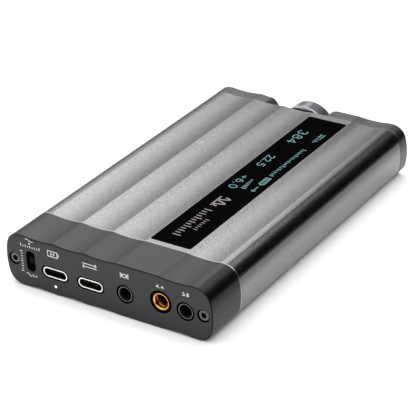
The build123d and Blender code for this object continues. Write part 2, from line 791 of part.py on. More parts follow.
with BuildPart() as encoder_plunger:
    with BuildSketch(section_plane(plunger_y + 0.8)):
        with Locations((0, knob_axis_z - mid_height)):
            Circle(2.6)
    extrude(amount=0.8)
encoder_plunger.part.label = "encoder_plunger"
export_step(encoder_plunger.part, "parts/encoder_plunger.step")

knob_front = front_face - knob_proud
with BuildPart() as volume_knob:
    with BuildSketch(section_plane(knob_back)):
        with Locations((0, knob_axis_z - mid_height)):
            Circle(knob_radius)
    extrude(amount=knob_back - knob_front)
    fillet(volume_knob.edges().sort_by(Axis.Y)[0], knob_front_fillet)
    chamfer(volume_knob.edges().sort_by(Axis.Y)[-1], knob_back_chamfer)
    # shallow turned face on the front
    with BuildSketch(section_plane(knob_front)):
        with Locations((0, knob_axis_z - mid_height)):
            Circle(knob_radius - 1.6)
    extrude(amount=-0.25, mode=Mode.SUBTRACT)
    # clearance for the nut and neck, and the hole for the shaft
    with BuildSketch(section_plane(knob_back)):
        with Locations((0, knob_axis_z - mid_height)):
            Circle(6.4)
    extrude(amount=1.7, mode=Mode.SUBTRACT)
    with BuildSketch(section_plane(knob_back)):
        with Locations((0, knob_axis_z - mid_height)):
            Circle(shaft_radius + 0.01)
    extrude(amount=knob_back + 60.2, mode=Mode.SUBTRACT)
volume_knob.part.label = "volume_knob"
export_step(volume_knob.part, "parts/volume_knob.step")


# ---------------------------------------------------------------- front buttons
switch_face = control_board_face - 3.4
plunger_reach = 0.5


def push_button(x):
    """Button cap with a flange behind the face and a stem that reaches its switch."""
    with BuildPart() as button:
        with BuildSketch(section_plane(front_face + front_plate)):
            with Locations((x, 0)):
                Circle(button_radius)
        extrude(amount=front_plate + button_proud)
        fillet(button.edges().sort_by(Axis.Y)[0], 0.3)
        with BuildSketch(section_plane(front_face + front_plate + 0.9)):
            with Locations((x, 0)):
                Circle(button_radius + 0.5)
        extrude(amount=0.85)
        with BuildSketch(section_plane(switch_face - plunger_reach)):
            with Locations((x, 0)):
                Circle(1.1)
        extrude(amount=switch_face - plunger_reach - front_face - front_plate)
    return button


def switch_plunger(x):
    """The tact switch's own moving nub."""
    with BuildPart() as nub:
        with BuildSketch(section_plane(switch_face + 0.6)):
            with Locations((x, 0)):
                Circle(0.9)
        extrude(amount=0.6 + plunger_reach)
    return nub


power_button = push_button(button_xs["power"])
power_button.part.label = "power_button"
export_step(power_button.part, "parts/power_button.step")

input_button = push_button(button_xs["input"])
input_button.part.label = "input_button"
export_step(input_button.part, "parts/input_button.step")

power_switch_plunger = switch_plunger(button_xs["power"])
power_switch_plunger.part.label = "power_switch_plunger"
export_step(power_switch_plunger.part, "parts/power_switch_plunger.step")

input_switch_plunger = switch_plunger(button_xs["input"])
input_switch_plunger.part.label = "input_switch_plunger"
export_step(input_switch_plunger.part, "parts/input_switch_plunger.step")

with BuildPart() as tact_switches:
    with BuildSketch(section_plane(control_board_face)):
        with Locations([(x, 0) for x in button_xs.values()]):
            RectangleRounded(4.6, 4.6, 0.4)
    extrude(amount=control_board_face - switch_face)
    with BuildSketch(section_plane(switch_face + 1.2)):
        with Locations([(x, 0) for x in button_xs.values()]):
            Circle(0.95)
    extrude(amount=1.2, mode=Mode.SUBTRACT)
tact_switches.part.label = "tact_switches"
export_step(tact_switches.part, "parts/tact_switches.step")


# ---------------------------------------------------------------- status light
light_pipe_back = board_rear - 1.4
with BuildPart() as light_pipe:
    with BuildSketch(Plane.XZ.offset(-light_pipe_back)):
        with Locations(status_light_at):
            Circle(0.42)
    extrude(amount=-(rear_face - 0.05 - light_pipe_back))
light_pipe.part.label = "light_pipe"
export_step(light_pipe.part, "parts/light_pipe.step")

with BuildPart() as status_led:
    with BuildSketch(Plane.XY.offset(2.4)):
        with Locations((status_light_at[0], light_pipe_back - 0.5)):
            Rectangle(1.6, 0.9)
    extrude(amount=board_top - board_thickness - 2.4)
status_led.part.label = "status_led"
export_step(status_led.part, "parts/status_led.step")


# ---------------------------------------------------------------- case screws
def cap_screws(outward, reach):
    """Two socket-head screws that pull an end cap onto the case."""
    face = rear_face if outward > 0 else front_face
    places = [(-screw_x, 0), (screw_x, 0)]
    head_face = mouth_plane(0, face - outward * screw_head_sunk, mid_height, outward)
    with BuildPart() as screws:
        with BuildSketch(head_face):
            with Locations(places):
                Circle(screw_head_radius)
        extrude(amount=-screw_head_height)
        with BuildSketch(head_face):
            with Locations(places):
                Circle(screw_radius)
        extrude(amount=-reach)
        with BuildSketch(head_face):
            with Locations(places):
                RegularPolygon(screw_hex / 2, 6, major_radius=False)
        extrude(amount=-1.2, mode=Mode.SUBTRACT)
    return screws


rear_screws = cap_screws(1, 21.0)
rear_screws.part.label = "rear_screws"
export_step(rear_screws.part, "parts/rear_screws.step")

front_screws = cap_screws(-1, 10.0)
front_screws.part.label = "front_screws"
export_step(front_screws.part, "parts/front_screws.step")


# ---------------------------------------------------------------- parts on the main board
def board_boxes(places, size, corner=0.0, lead_count=0):
    """Chips or blocks standing on the main board, optionally with flat leads along two sides."""
    width, length, height = size
    with BuildPart() as group:
        with BuildSketch(Plane.XY.offset(board_top + (0.1 if lead_count else 0))):
            with Locations(places):
                if corner:
                    RectangleRounded(width, length, corner)
                else:
                    Rectangle(width, length)
        extrude(amount=height)
        if lead_count:
            pitch = length / lead_count
            offsets = [(i - (lead_count - 1) / 2) * pitch for i in range(lead_count)]
            with BuildSketch(Plane.XY.offset(board_top)):
                with Locations([(x, y + step) for x, y in places for step in offsets]):
                    Rectangle(width + 1.8, pitch * 0.42)
            extrude(amount=0.25)
    return group


processor_chip = board_boxes([(6.0, 35.0)], (10.0, 10.0, 1.1), lead_count=12)
processor_chip.part.label = "processor_chip"
export_step(processor_chip.part, "parts/processor_chip.step")

dac_chip = board_boxes([(-8.5, -2.0)], (8.0, 8.0, 1.1), lead_count=10)
dac_chip.part.label = "dac_chip"
export_step(dac_chip.part, "parts/dac_chip.step")

amplifier_places = [(x, y) for x in (-24.5, -9.0) for y in (-14.0, -22.0)]
amplifier_chips = board_boxes(amplifier_places, (3.9, 4.9, 1.5), lead_count=4)
amplifier_chips.part.label = "amplifier_chips"
export_step(amplifier_chips.part, "parts/amplifier_chips.step")

power_chips = board_boxes([(12.0, 12.0), (24.0, 12.0)], (4.0, 4.0, 0.9), lead_count=5)
power_chips.part.label = "power_chips"
export_step(power_chips.part, "parts/power_chips.step")

crystal_oscillators = board_boxes([(-2.6, 27.0), (-2.6, 33.5)], (3.2, 5.0, 1.2), corner=0.5)
crystal_oscillators.part.label = "crystal_oscillators"
export_step(crystal_oscillators.part, "parts/crystal_oscillators.step")

wireless_shield = board_boxes([(-24.0, 30.0)], (13.0, 17.0, 2.2), corner=0.6)
wireless_shield.part.label = "wireless_shield"
export_step(wireless_shield.part, "parts/wireless_shield.step")

output_relays = board_boxes([(-26.0, -36.0), (-3.5, -36.0)], (7.2, 10.4, 5.0), corner=0.4)
output_relays.part.label = "output_relays"
export_step(output_relays.part, "parts/output_relays.step")

film_capacitors = board_boxes([(-30.0, -2.0), (-24.5, -2.0), (-19.0, -2.0)], (3.0, 7.2, 5.6), corner=0.3)
film_capacitors.part.label = "film_capacitors"
export_step(film_capacitors.part, "parts/film_capacitors.step")

power_inductors = board_boxes([(12.0, 0.0), (24.0, 0.0), (12.0, -12.0)], (5.2, 5.2, 2.1), corner=1.0)
power_inductors.part.label = "power_inductors"
export_step(power_inductors.part, "parts/power_inductors.step")

with BuildPart() as polymer_capacitors:
    with BuildSketch(Plane.XY.offset(board_top)):
        with Locations([(x, y) for x in (-28.4, -21.2) for y in (8.0, 15.5)]):
            Circle(3.1)
    extrude(amount=5.8)
    fillet(polymer_capacitors.edges().group_by(Axis.Z)[-1], 0.5)
polymer_capacitors.part.label = "polymer_capacitors"
export_step(polymer_capacitors.part, "parts/polymer_capacitors.step")

resistor_places = [(x, y) for x in (-16.8, -14.8) for y in (-24, -20, -16, -12, -8)]
resistor_places += [(x, y) for x in (18.0, 28.5) for y in (-30, -24, -18, 18)]
chip_resistors = board_boxes(resistor_places, (1.6, 0.8, 0.45))
chip_resistors.part.label = "chip_resistors"
export_step(chip_resistors.part, "parts/chip_resistors.step")

# flexible antenna stuck under the rear cap's roof
with BuildPart() as antenna_strip:
    with BuildSketch(Plane.XY.offset(cavity_top - 0.25)):
        with Locations((-6.0, rear_face - 7.6)):
            Rectangle(38, 7.0)
    extrude(amount=0.2)
antenna_strip.part.label = "antenna_strip"
export_step(antenna_strip.part, "parts/antenna_strip.step")
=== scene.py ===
import json
from math import cos, pi, radians, sin

import bmesh
import bpy
from mathutils import Matrix, Vector


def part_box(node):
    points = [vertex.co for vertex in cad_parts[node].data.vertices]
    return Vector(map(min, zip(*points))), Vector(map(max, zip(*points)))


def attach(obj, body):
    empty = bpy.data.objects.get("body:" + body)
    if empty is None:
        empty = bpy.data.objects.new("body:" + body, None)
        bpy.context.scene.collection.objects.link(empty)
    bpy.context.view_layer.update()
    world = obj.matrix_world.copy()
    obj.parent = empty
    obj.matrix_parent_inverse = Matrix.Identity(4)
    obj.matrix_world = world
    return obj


# The visible model of a flat DAC and headphone amplifier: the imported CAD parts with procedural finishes, and
# the marks, rings and contacts that are too small for the CAD. Everything is in metres, in the CAD's frame.
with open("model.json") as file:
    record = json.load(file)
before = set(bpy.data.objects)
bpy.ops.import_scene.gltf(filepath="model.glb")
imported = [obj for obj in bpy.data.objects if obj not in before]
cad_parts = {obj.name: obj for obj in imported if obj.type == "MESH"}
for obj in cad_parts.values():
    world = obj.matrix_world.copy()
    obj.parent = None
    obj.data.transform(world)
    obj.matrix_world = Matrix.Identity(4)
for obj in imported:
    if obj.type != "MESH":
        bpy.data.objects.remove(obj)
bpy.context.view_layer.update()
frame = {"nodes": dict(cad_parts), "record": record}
scene = bpy.context.scene
MM = 0.001
MICRON = 0.000001


def middle(node):
    """Middle of a node's box across the case: (x, z)."""
    low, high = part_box(node)
    return ((low.x + high.x) / 2, (low.z + high.z) / 2)


case_low, case_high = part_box("tube_case")
rear_low, rear_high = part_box("rear_cap")
rear_y = rear_high.y                    # the socket face
front_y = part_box("front_cap")[0].y      # the face of the knob end
glass_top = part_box("display_glass")[1].z
places = {mount["name"]: mount["pos_m"] for mount in frame["record"]["mounts"]}


# ---------------------------------------------------------------- material building
# colours are linear RGB; sizes of grain and depths of bumps are in metres
BLACK = (0.0, 0.0, 0.0)
NOISE_RANGE = (0.3, 0.7)     # where nearly all of a noise texture's values lie
CHAMFER_TILT = (0.35, 0.95)  # a chamfer faces along Y by more than a side does and by less than an end


class Nodes:
    """Short calls that build a node tree; any input may be a value or another node's output."""

    def __init__(self, tree):
        self.tree = tree

    def node(self, kind, *inputs, **settings):
        made = self.tree.nodes.new(kind)
        for key, value in settings.items():
            setattr(made, key, value)
        for socket, value in zip(made.inputs, inputs):
            self.feed(socket, value)
        return made

    def feed(self, socket, value):
        if isinstance(value, bpy.types.NodeSocket):
            self.tree.links.new(value, socket)
        else:
            socket.default_value = value

    def calc(self, operation, a, b=0.0):
        return self.node("ShaderNodeMath", a, b, operation=operation).outputs[0]

    def product(self, first, *others):
        for other in others:
            first = self.calc("MULTIPLY", first, other)
        return first

    def inverse(self, share):
        return self.calc("SUBTRACT", 1.0, share)

    def span(self, value, low, high, to_low=0.0, to_high=1.0, steps="SMOOTHSTEP"):
        """value from low..high onto to_low..to_high, held at both ends."""
        made = self.node("ShaderNodeMapRange", interpolation_type=steps)
        self.feed(made.inputs["Value"], value)
        made.inputs["From Min"].default_value = low
        made.inputs["From Max"].default_value = high
        made.inputs["To Min"].default_value = to_low
        made.inputs["To Max"].default_value = to_high
        return made.outputs["Result"]


class Finish(Nodes):
    """A Principled material in the object's own coordinates (metres)."""

    def __init__(self, name, **sockets):
        self.mat = bpy.data.materials.new(name)
        self.mat.use_nodes = True
        super().__init__(self.mat.node_tree)
        self.shader = self.tree.nodes["Principled BSDF"]
        self.set(**sockets)
        self.place = self.node("ShaderNodeTexCoord").outputs["Object"]

    def set(self, **sockets):
        for socket, value in sockets.items():
            self.feed(self.shader.inputs[socket.replace("_", " ")], value)

    def finished(self, base, rough, height, depth, **others):
        """The material, with its colour, roughness and a bump of that depth in metres."""
        bump = self.node("ShaderNodeBump")
        self.feed(bump.inputs["Height"], height)
        bump.inputs["Strength"].default_value = 1.0
        bump.inputs["Distance"].default_value = depth
        self.set(Base_Color=base, Roughness=rough, Normal=bump.outputs["Normal"], **others)
        return self.mat

    def stretched(self, scale):
        """Coordinates scaled on each axis, so that a texture is drawn out along one of them."""
        made = self.node("ShaderNodeMapping")
        self.feed(made.inputs["Vector"], self.place)
        made.inputs["Scale"].default_value = scale
        return made.outputs["Vector"]

    def texture(self, kind, size, vector):
        made = self.node(kind)
        self.feed(made.inputs["Vector"], self.place if vector is None else vector)
        made.inputs["Scale"].default_value = 1 / size
        return made

    def noise(self, size, detail=2.0, roughness=0.5, vector=None):
        """Noise with features of about that size in metres, near 0.5 on average."""
        made = self.texture("ShaderNodeTexNoise", size, vector)
        made.inputs["Detail"].default_value = detail
        made.inputs["Roughness"].default_value = roughness
        return made.outputs["Fac"]

    def cells(self, size, vector=None):
        """Distance to the nearest of scattered points, about that far apart in metres."""
        return self.texture("ShaderNodeTexVoronoi", size, vector).outputs["Distance"]

    def drift(self, noise, low, high):
        """A noise's usual range onto low..high."""
        return self.span(noise, *NOISE_RANGE, low, high)

    def mix(self, share, a, b):
        made = self.node("ShaderNodeMix", data_type="RGBA")
        self.feed(made.inputs["Factor"], share)
        for socket, colour in (("A", a), ("B", b)):
            self.feed(made.inputs[socket], colour if isinstance(colour, bpy.types.NodeSocket) else (*colour, 1))
        return made.outputs["Result"]

    def mottled(self, colour, size, spread):
        """A base colour that drifts a little lighter and darker."""
        return self.mix(self.drift(self.noise(size, 3.0), 0.0, 1.0), tinted(colour, 1 - spread),
                        tinted(colour, 1 + spread))

    def axis(self, vector, name):
        return self.node("ShaderNodeSeparateXYZ", vector).outputs[name]

    def facing(self, name):
        """How far the surface faces along an axis, either way: 0 to 1."""
        return self.calc("ABSOLUTE", self.axis(self.node("ShaderNodeNewGeometry").outputs["Normal"], name))


def tinted(colour, factor):
    return tuple(min(1.0, c * factor) for c in colour)


def blasted(name, colour, roughness, grain, depth, edge, spread=0.05, face=None):
    """Bead-blasted anodised metal: fine pits, faint cloudiness, and edges painted in another tone: painted
    shade on the darker edges, a painted highlight on the lighter ones.

    edge is (low_y, high_y, colour, roughness): the chamfers beyond those ends take that finish; its colour is
    painted shade where darker and a painted highlight where lighter.
    face is (y, factor): beyond y the metal is darker by that factor, as painted shade on the end face.
    """
    f = Finish(name, Metallic=1.0)
    pits = f.noise(grain, 4.0, 0.65)
    speck = f.cells(grain * 1.6)
    cloud = f.noise(11 * MM, 3.0)
    base = f.mix(f.span(pits, 0.38, 0.62), tinted(colour, 0.72), f.mottled(colour, 1.1 * MM, spread))
    rough = f.calc("ADD", f.drift(cloud, roughness - 0.01, roughness + 0.01),
                   f.span(speck, 0.1, 0.6, 0.03, -0.03))
    y = f.axis(f.place, "Y")
    if face:
        # painted shade: the end face beyond y is darker than the rest
        base = f.mix(f.calc("GREATER_THAN", y, face[0]), base, tinted(colour, face[1]))
    low, high, painted_edge_tone, edge_roughness = edge
    beyond = f.calc("MAXIMUM", f.calc("LESS_THAN", y, low), f.calc("GREATER_THAN", y, high))
    tilt = f.facing("Y")
    leaning = f.product(f.calc("GREATER_THAN", tilt, CHAMFER_TILT[0]),
                        f.calc("LESS_THAN", tilt, CHAMFER_TILT[1]))
    chamfer = f.product(beyond, leaning)
    # the chamfers take the painted edge tone: painted shade or a painted highlight
    base = f.mix(chamfer, base, painted_edge_tone)
    rough = f.calc("ADD", f.product(rough, f.inverse(chamfer)), f.product(chamfer, edge_roughness))
    return f.finished(base, rough, f.calc("ADD", pits, f.product(speck, 0.35)), depth)


def turned(name, colour, roughness, centre):
    """Satin metal turned on a lathe: rings round an axis along Y, at centre (x, z)."""
    f = Finish(name, Metallic=1.0)
    x = f.calc("SUBTRACT", f.axis(f.place, "X"), centre[0])
    z = f.calc("SUBTRACT", f.axis(f.place, "Z"), centre[1])
    radius = f.calc("SQRT", f.calc("ADD", f.product(x, x), f.product(z, z)))
    joined = f.node("ShaderNodeCombineXYZ", radius, f.axis(f.place, "Y"))
    rings = f.noise(0.16 * MM, 3.0, 0.6, joined.outputs[0])
    fine = f.noise(0.25 * MM, 3.0, 0.6)
    base = f.mix(f.span(rings, 0.35, 0.65), tinted(colour, 0.9), tinted(colour, 1.06))
    rough = f.drift(fine, roughness - 0.04, roughness + 0.05)
    return f.finished(base, rough, f.calc("ADD", rings, f.product(fine, 0.6)), 4 * MICRON)


def plated(name, colour, roughness, across=0.2 * MM, deep=None):
    """Drawn or plated metal with faint draw lines along Y and a few dull spots.

    deep is (near, far, colour): between those depths in from either end face the metal darkens to it, as
    painted shade inside the recess.
    """
    f = Finish(name, Metallic=1.0)
    lines = f.noise(across, 3.0, 0.6, f.stretched((1.0, 0.08, 1.0)))
    dull = f.span(f.noise(1.4 * MM, 4.0, 0.6), 0.45, 0.75)
    base = f.mix(dull, colour, tinted(colour, 0.82))
    if deep:
        near, far, painted_shade_colour = deep
        y = f.axis(f.place, "Y")
        inwards = f.calc("MINIMUM", f.calc("SUBTRACT", rear_y, y), f.calc("SUBTRACT", y, front_y))
        # painted shade deeper inside
        base = f.mix(f.span(inwards, near, far), base, painted_shade_colour)
    rough = f.calc("ADD", f.drift(lines, roughness - 0.03, roughness + 0.05), f.product(dull, 0.08))
    return f.finished(base, rough, lines, 2 * MICRON)


def moulded(name, colour, roughness, grain=0.22 * MM, depth=6 * MICRON, specular=0.4):
    """Moulded plastic, rubber, foam or epoxy with a fine texture."""
    f = Finish(name, Specular_IOR_Level=specular)
    rough = f.drift(f.noise(grain * 3, 3.0), roughness - 0.05, roughness + 0.06)
    return f.finished(f.mottled(colour, 4 * MM, 0.12), rough, f.noise(grain, 3.0, 0.6), depth)


def window_glass(name):
    """Smoked display glass: near black, smooth, with a faint orange-peel and a few dust specks."""
    f = Finish(name, IOR=1.025)
    dust = f.span(f.cells(2.1 * MM), 0.02, 0.05, 1.0, 0.0)
    smear = f.span(f.noise(20 * MM, 4.0, 0.6, f.stretched((1.0, 0.35, 1.0))), 0.4, 0.75)
    base = f.mix(f.product(dust, 0.1), (0.0004, 0.0004, 0.0005), (0.01, 0.01, 0.011))
    rough = f.calc("ADD", f.product(smear, 0.08), 0.10)
    return f.finished(base, rough, f.noise(4 * MM, 2.0), 1.5 * MICRON)


def board_mask(name):
    """Green solder mask over copper: traces in blocks, vias, and the glass weave at the cut edges."""
    f = Finish(name, Specular_IOR_Level=0.5, Coat_Weight=0.35, Coat_Roughness=0.18)
    flat = (1.0, 1.0, 0.0)
    lanes = f.node("ShaderNodeTexWave", wave_type="BANDS", bands_direction="X", wave_profile="SAW")
    f.feed(lanes.inputs["Vector"], f.place)
    for socket, value in (("Scale", 420.0), ("Distortion", 6.0), ("Detail", 0.0), ("Detail Scale", 0.4)):
        lanes.inputs[socket].default_value = value
    blocks = f.span(f.cells(6.5 * MM, f.stretched(flat)), 0.2, 0.24)
    trace = f.product(f.span(lanes.outputs["Fac"], 0.45, 0.55), blocks)
    vias = f.span(f.cells(3.4 * MM, f.stretched(flat)), 0.07, 0.09, 1.0, 0.0)
    base = f.mix(trace, (0.006, 0.050, 0.028), (0.012, 0.095, 0.048))
    base = f.mix(vias, base, (0.50, 0.40, 0.20))
    weave = f.mix(f.span(f.cells(0.5 * MM), 0.1, 0.5), (0.32, 0.30, 0.14), (0.20, 0.22, 0.10))
    base = f.mix(f.calc("LESS_THAN", f.facing("Z"), 0.5), base, weave)
    rough = f.drift(f.noise(0.6 * MM, 3.0), 0.28, 0.42)
    return f.finished(base, rough, f.calc("ADD", trace, f.product(f.noise(0.3 * MM), 0.2)), 12 * MICRON)


def amber_film(name):
    """Polyimide flat cable: amber film with copper lanes, 0.5 mm apart, along it."""
    f = Finish(name, Specular_IOR_Level=0.5)
    lanes = f.calc("SINE", f.product(f.axis(f.place, "X"), 2 * pi / (0.5 * MM)))
    copper = f.span(lanes, -0.2, 0.2)
    base = f.mix(copper, (0.30, 0.11, 0.015), (0.42, 0.19, 0.04))
    return f.finished(base, f.drift(f.noise(0.8 * MM, 3.0), 0.25, 0.4), copper, 15 * MICRON)


def foil_pouch(name, colour):
    """Laminated pouch: soft wrinkles, a dull printed skin and bright worn folds."""
    f = Finish(name, Metallic=0.35)
    folds = f.noise(8 * MM, 5.0, 0.55, f.stretched((1.0, 0.45, 1.0)))
    fine = f.noise(0.6 * MM, 3.0)
    base = f.mix(f.span(folds, 0.55, 0.75), colour, tinted(colour, 1.9))
    return f.finished(base, f.drift(fine, 0.36, 0.5), f.calc("ADD", folds, f.product(fine, 0.03)), 0.35 * MM)


def clear_acrylic(name):
    """Frosted light guide, faintly lit from behind."""
    f = Finish(name, Specular_IOR_Level=0.5, Transmission_Weight=0.25, Emission_Strength=0.9)
    frost = f.noise(0.12 * MM, 3.0)
    tone = f.mix(f.drift(frost, 0.0, 1.0), (0.80, 0.83, 0.86), (0.95, 0.96, 0.97))
    return f.finished(tone, f.drift(frost, 0.32, 0.5), frost, 4 * MICRON, Emission_Color=tone)


def ink(name, colour):
    """Screen-printed ink: a little uneven in cover, slightly rough."""
    f = Finish(name, Specular_IOR_Level=0.35)
    cover = f.span(f.noise(0.16 * MM, 3.0, 0.6), 0.32, 0.52)
    base = f.mix(cover, tinted(colour, 0.78), colour)
    return f.finished(base, f.drift(f.noise(0.3 * MM), 0.49, 0.61), cover, 3 * MICRON)


def lit_pixels(name, colour, strength):
    """Display segments: square pixels 0.22 mm apart that glow, with darker lines between them."""
    f = Finish(name, Specular_IOR_Level=0.1, Roughness=0.5, Emission_Strength=strength)
    pitch = 2 * pi / (0.22 * MM)
    across = f.calc("COSINE", f.product(f.axis(f.place, "X"), pitch))
    along = f.calc("COSINE", f.product(f.axis(f.place, "Y"), pitch))
    grid = f.span(f.calc("MINIMUM", across, along), -0.95, -0.2, 0.72, 1.0)
    glow = f.mix(f.product(grid, f.drift(f.noise(2 * MM, 2.0), 0.9, 1.05)), BLACK, colour)
    f.set(Base_Color=f.mix(0.3, BLACK, glow), Emission_Color=glow)
    return f.mat


# ---------------------------------------------------------------- finishes of the record's slots
SILVER = (0.330, 0.325, 0.328)
CHARCOAL = (0.071, 0.0716, 0.0745)
GREY = (0.168, 0.166, 0.170)
NICKEL = (0.92, 0.90, 0.84)
FACE_PAINTED_SHADE = 0.64                    # painted shade: how much darker the socket face is than the rest of its cap
FAR = 1.0                            # farther than any part: no chamfer at that end
BUTTON_RINGS = (0.0227, 0.00885)     # x, z: rings round the power button, which cross the other one as arcs

finishes = {
    # the chamfer tones: a painted highlight on the case's ends, painted shade on the edges of both caps
    "case_aluminium": blasted("case_blasted", SILVER, 0.225, 0.34 * MM, 23 * MICRON,
                              (case_low.y + 0.35 * MM, case_high.y - 0.35 * MM, (0.40, 0.40, 0.405), 0.30)),
    "cap_dark": blasted("cap_charcoal", CHARCOAL, 0.34, 0.24 * MM, 8 * MICRON,
                        (rear_low.y + 0.2 * MM, rear_y - 0.34 * MM, (0.022, 0.022, 0.024), 0.45),
                        spread=0.04, face=(rear_y - 0.02 * MM, FACE_PAINTED_SHADE)),
    "front_aluminium": blasted("front_grey", GREY, 0.36, 0.26 * MM, 10 * MICRON,
                               (front_y + 0.35 * MM, FAR, (0.10, 0.10, 0.103), 0.42)),
    "knob_aluminium": turned("knob_satin", (0.385, 0.38, 0.40), 0.27, middle("volume_knob")),
    "button_metal": turned("button_satin", (0.42, 0.42, 0.43), 0.30, BUTTON_RINGS),
    "display_glass": window_glass("smoked_glass"),
    "gasket": moulded("foam_black", (0.012, 0.012, 0.012), 0.85, 0.4 * MM, 60 * MICRON, specular=0.2),
    "display_panel": moulded("panel_glass", (0.012, 0.018, 0.022), 0.14, 2 * MM, 2 * MICRON, specular=0.5),
    "flex": amber_film("amber_film"),
    "board": board_mask("solder_mask"),
    "connector": moulded("ivory_nylon", (0.62, 0.58, 0.48), 0.5),
    "black_plastic": moulded("black_moulded", (0.004, 0.004, 0.0045), 0.5, specular=0.04),
    "battery": foil_pouch("pouch_foil", (0.10, 0.11, 0.14)),
    "wire_red": moulded("red_silicone", (0.38, 0.012, 0.012), 0.5, 0.3 * MM),
    "wire_black": moulded("black_silicone", (0.010, 0.010, 0.010), 0.5, 0.3 * MM),
    "steel": plated("bright_nickel", NICKEL, 0.26),
    "dark_steel": plated("dark_nickel", (0.12, 0.12, 0.124), 0.32),
    # the gold is painted with shade deeper inside the socket bores
    "gold": plated("gold_plate", (0.80, 0.42, 0.080), 0.22, deep=(0.6 * MM, 2.4 * MM, (0.30, 0.11, 0.01))),
    "light_pipe": clear_acrylic("light_guide"),
    "chip": moulded("mould_epoxy", (0.014, 0.014, 0.016), 0.52, 0.18 * MM, 12 * MICRON),
    "tin": plated("tin_plate", (0.60, 0.61, 0.61), 0.34),
    "film_cap": moulded("film_red", (0.30, 0.02, 0.014), 0.34, 0.9 * MM, 20 * MICRON, specular=0.5),
    "antenna": amber_film("antenna_film"),
}

# the shells of the USB sockets are bright at the rim and painted with shade further inside
shell_nickel = plated("shell_nickel", NICKEL, 0.26, deep=(0.25 * MM, 1.2 * MM, (0.10, 0.10, 0.095)))
own_finishes = {"usb_power_shell": shell_nickel, "usb_data_shell": shell_nickel}

for part in frame["record"]["subparts"]:
    for held in frame["nodes"][part["node"]].material_slots:
        held.material = own_finishes.get(part["node"], finishes[part["material_slot"]])

white_ink = ink("ink_white", (0.78, 0.78, 0.79))
grey_ink = ink("ink_grey", (0.20, 0.18, 0.175))
teal_pixels = lit_pixels("pixels_teal", (0.25, 0.47, 0.49), 0.50)
lip_metal = plated("lip_nickel", (0.25, 0.25, 0.255), 0.30, across=0.12 * MM)
pad_metal = plated("pad_gold", (0.80, 0.52, 0.20), 0.26)
# the sleeve inside the balanced sockets: gold darkened all over as painted shade in the bore
shaded_sleeve_metal = plated("sleeve_gold", (0.28, 0.105, 0.011), 0.24)


# ---------------------------------------------------------------- meshes into pieces
def mesh_object(name, mesh, material):
    """A linked object made from a bmesh, which is freed."""
    data = bpy.data.meshes.new(name)
    mesh.to_mesh(data)
    mesh.free()
    made = bpy.data.objects.new(name, data)
    scene.collection.objects.link(made)
    data.materials.append(material)
    return made


def add_piece(name, mesh, material):
    """A piece of the visible model, facing outwards, that rides on the housing."""
    bmesh.ops.recalc_face_normals(mesh, faces=mesh.faces)
    piece = mesh_object(name, mesh, material)
    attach(piece, "housing")


# ---------------------------------------------------------------- printed and lit marks
def arc(x, y, radius, start, end, steps=12, squash=1.0):
    """Points along an arc, with angles in degrees."""
    angles = [radians(start + (end - start) * i / steps) for i in range(steps + 1)]
    return [(x + radius * cos(t), y + radius * squash * sin(t)) for t in angles]


def circle(x, y, radius, steps=20, squash=1.0):
    return arc(x, y, radius, 0, 360, steps, squash)


# strokes of each sign, in shares of its height
DIGITS = {
    "0": [circle(0.30, 0.50, 0.26, 24, 1.8)],
    "2": [arc(0.30, 0.70, 0.25, 165, -35) + [(0.05, 0.04), (0.58, 0.04)]],
    "3": [arc(0.27, 0.73, 0.23, 150, -80), arc(0.27, 0.28, 0.27, 80, -150)],
    "4": [[(0.42, 0.02), (0.42, 0.96), (0.03, 0.30), (0.60, 0.30)]],
    "5": [[(0.54, 0.96), (0.13, 0.96), (0.10, 0.55)] + arc(0.27, 0.31, 0.29, 120, -145)],
    "6": [circle(0.30, 0.30, 0.26), [(0.045, 0.36)] + arc(0.62, 0.36, 0.57, 165, 112, 6)],
    "8": [circle(0.30, 0.74, 0.21), circle(0.30, 0.28, 0.26)],
    ".": [[(0.08, 0.0), (0.08, 0.11)]],
    "+": [[(0.05, 0.42), (0.55, 0.42)], [(0.30, 0.17), (0.30, 0.67)]],
}
SIGN_WIDTH = 0.60
NARROW = {".": 0.24}
SIGN_GAP = 0.16


def digits(text, x, y, height, width):
    """Strokes of a number that fills width, with its lower left corner at x, y."""
    strokes = []
    advance = 0.0
    for sign in text:
        strokes += [[(px + advance, py) for px, py in stroke] for stroke in DIGITS[sign]]
        advance += NARROW.get(sign, SIGN_WIDTH) + SIGN_GAP
    scale_x = width / (advance - SIGN_GAP)
    return [[(x + px * scale_x, y + py * height) for px, py in stroke] for stroke in strokes]


def tick_scale(x, y, length, height, pattern):
    """A row of upright ticks; the pattern gives each one's share of the height."""
    step = length / (len(pattern) - 1)
    return [[(x + i * step, y), (x + i * step, y + height * share)] for i, share in enumerate(pattern)]


def shelf_curve(x, y, length, height):
    """A small response curve: level, then smoothly down over its middle half, then level."""
    points = []
    for i in range(11):
        fallen = min(1, max(0, (i - 2.5) / 5))
        points.append((x + length * i / 10, y + height - height * (0.5 - 0.5 * cos(pi * fallen))))
    return [points]


def bolt(x, y, height):
    return [[(x + 0.16 * height, y + height), (x - 0.22 * height, y + 0.42 * height),
             (x + 0.20 * height, y + 0.56 * height), (x - 0.14 * height, y)]]


def box_outline(left, low, right, high):
    return [(left, low), (left, high), (right, high), (right, low), (left, low)]


def arrow(x, y, length, head, flip=1):
    """A shaft with its head at the far end, or at the near end where flip is -1."""
    tip = x + length if flip > 0 else x
    barb = tip - flip * head
    return [[(x, y), (x + length, y)], [(barb, y + head), (tip, y), (barb, y - head)]]


MARK_LIFT = 0.004            # mm between a mark and the surface it is printed on
MARK_THICK = 0.012
OVERRUN = 0.3                # open ends run on by this share of the stroke's width
SHARPEST = 0.45              # a corner reaches out by no more than half the width over this


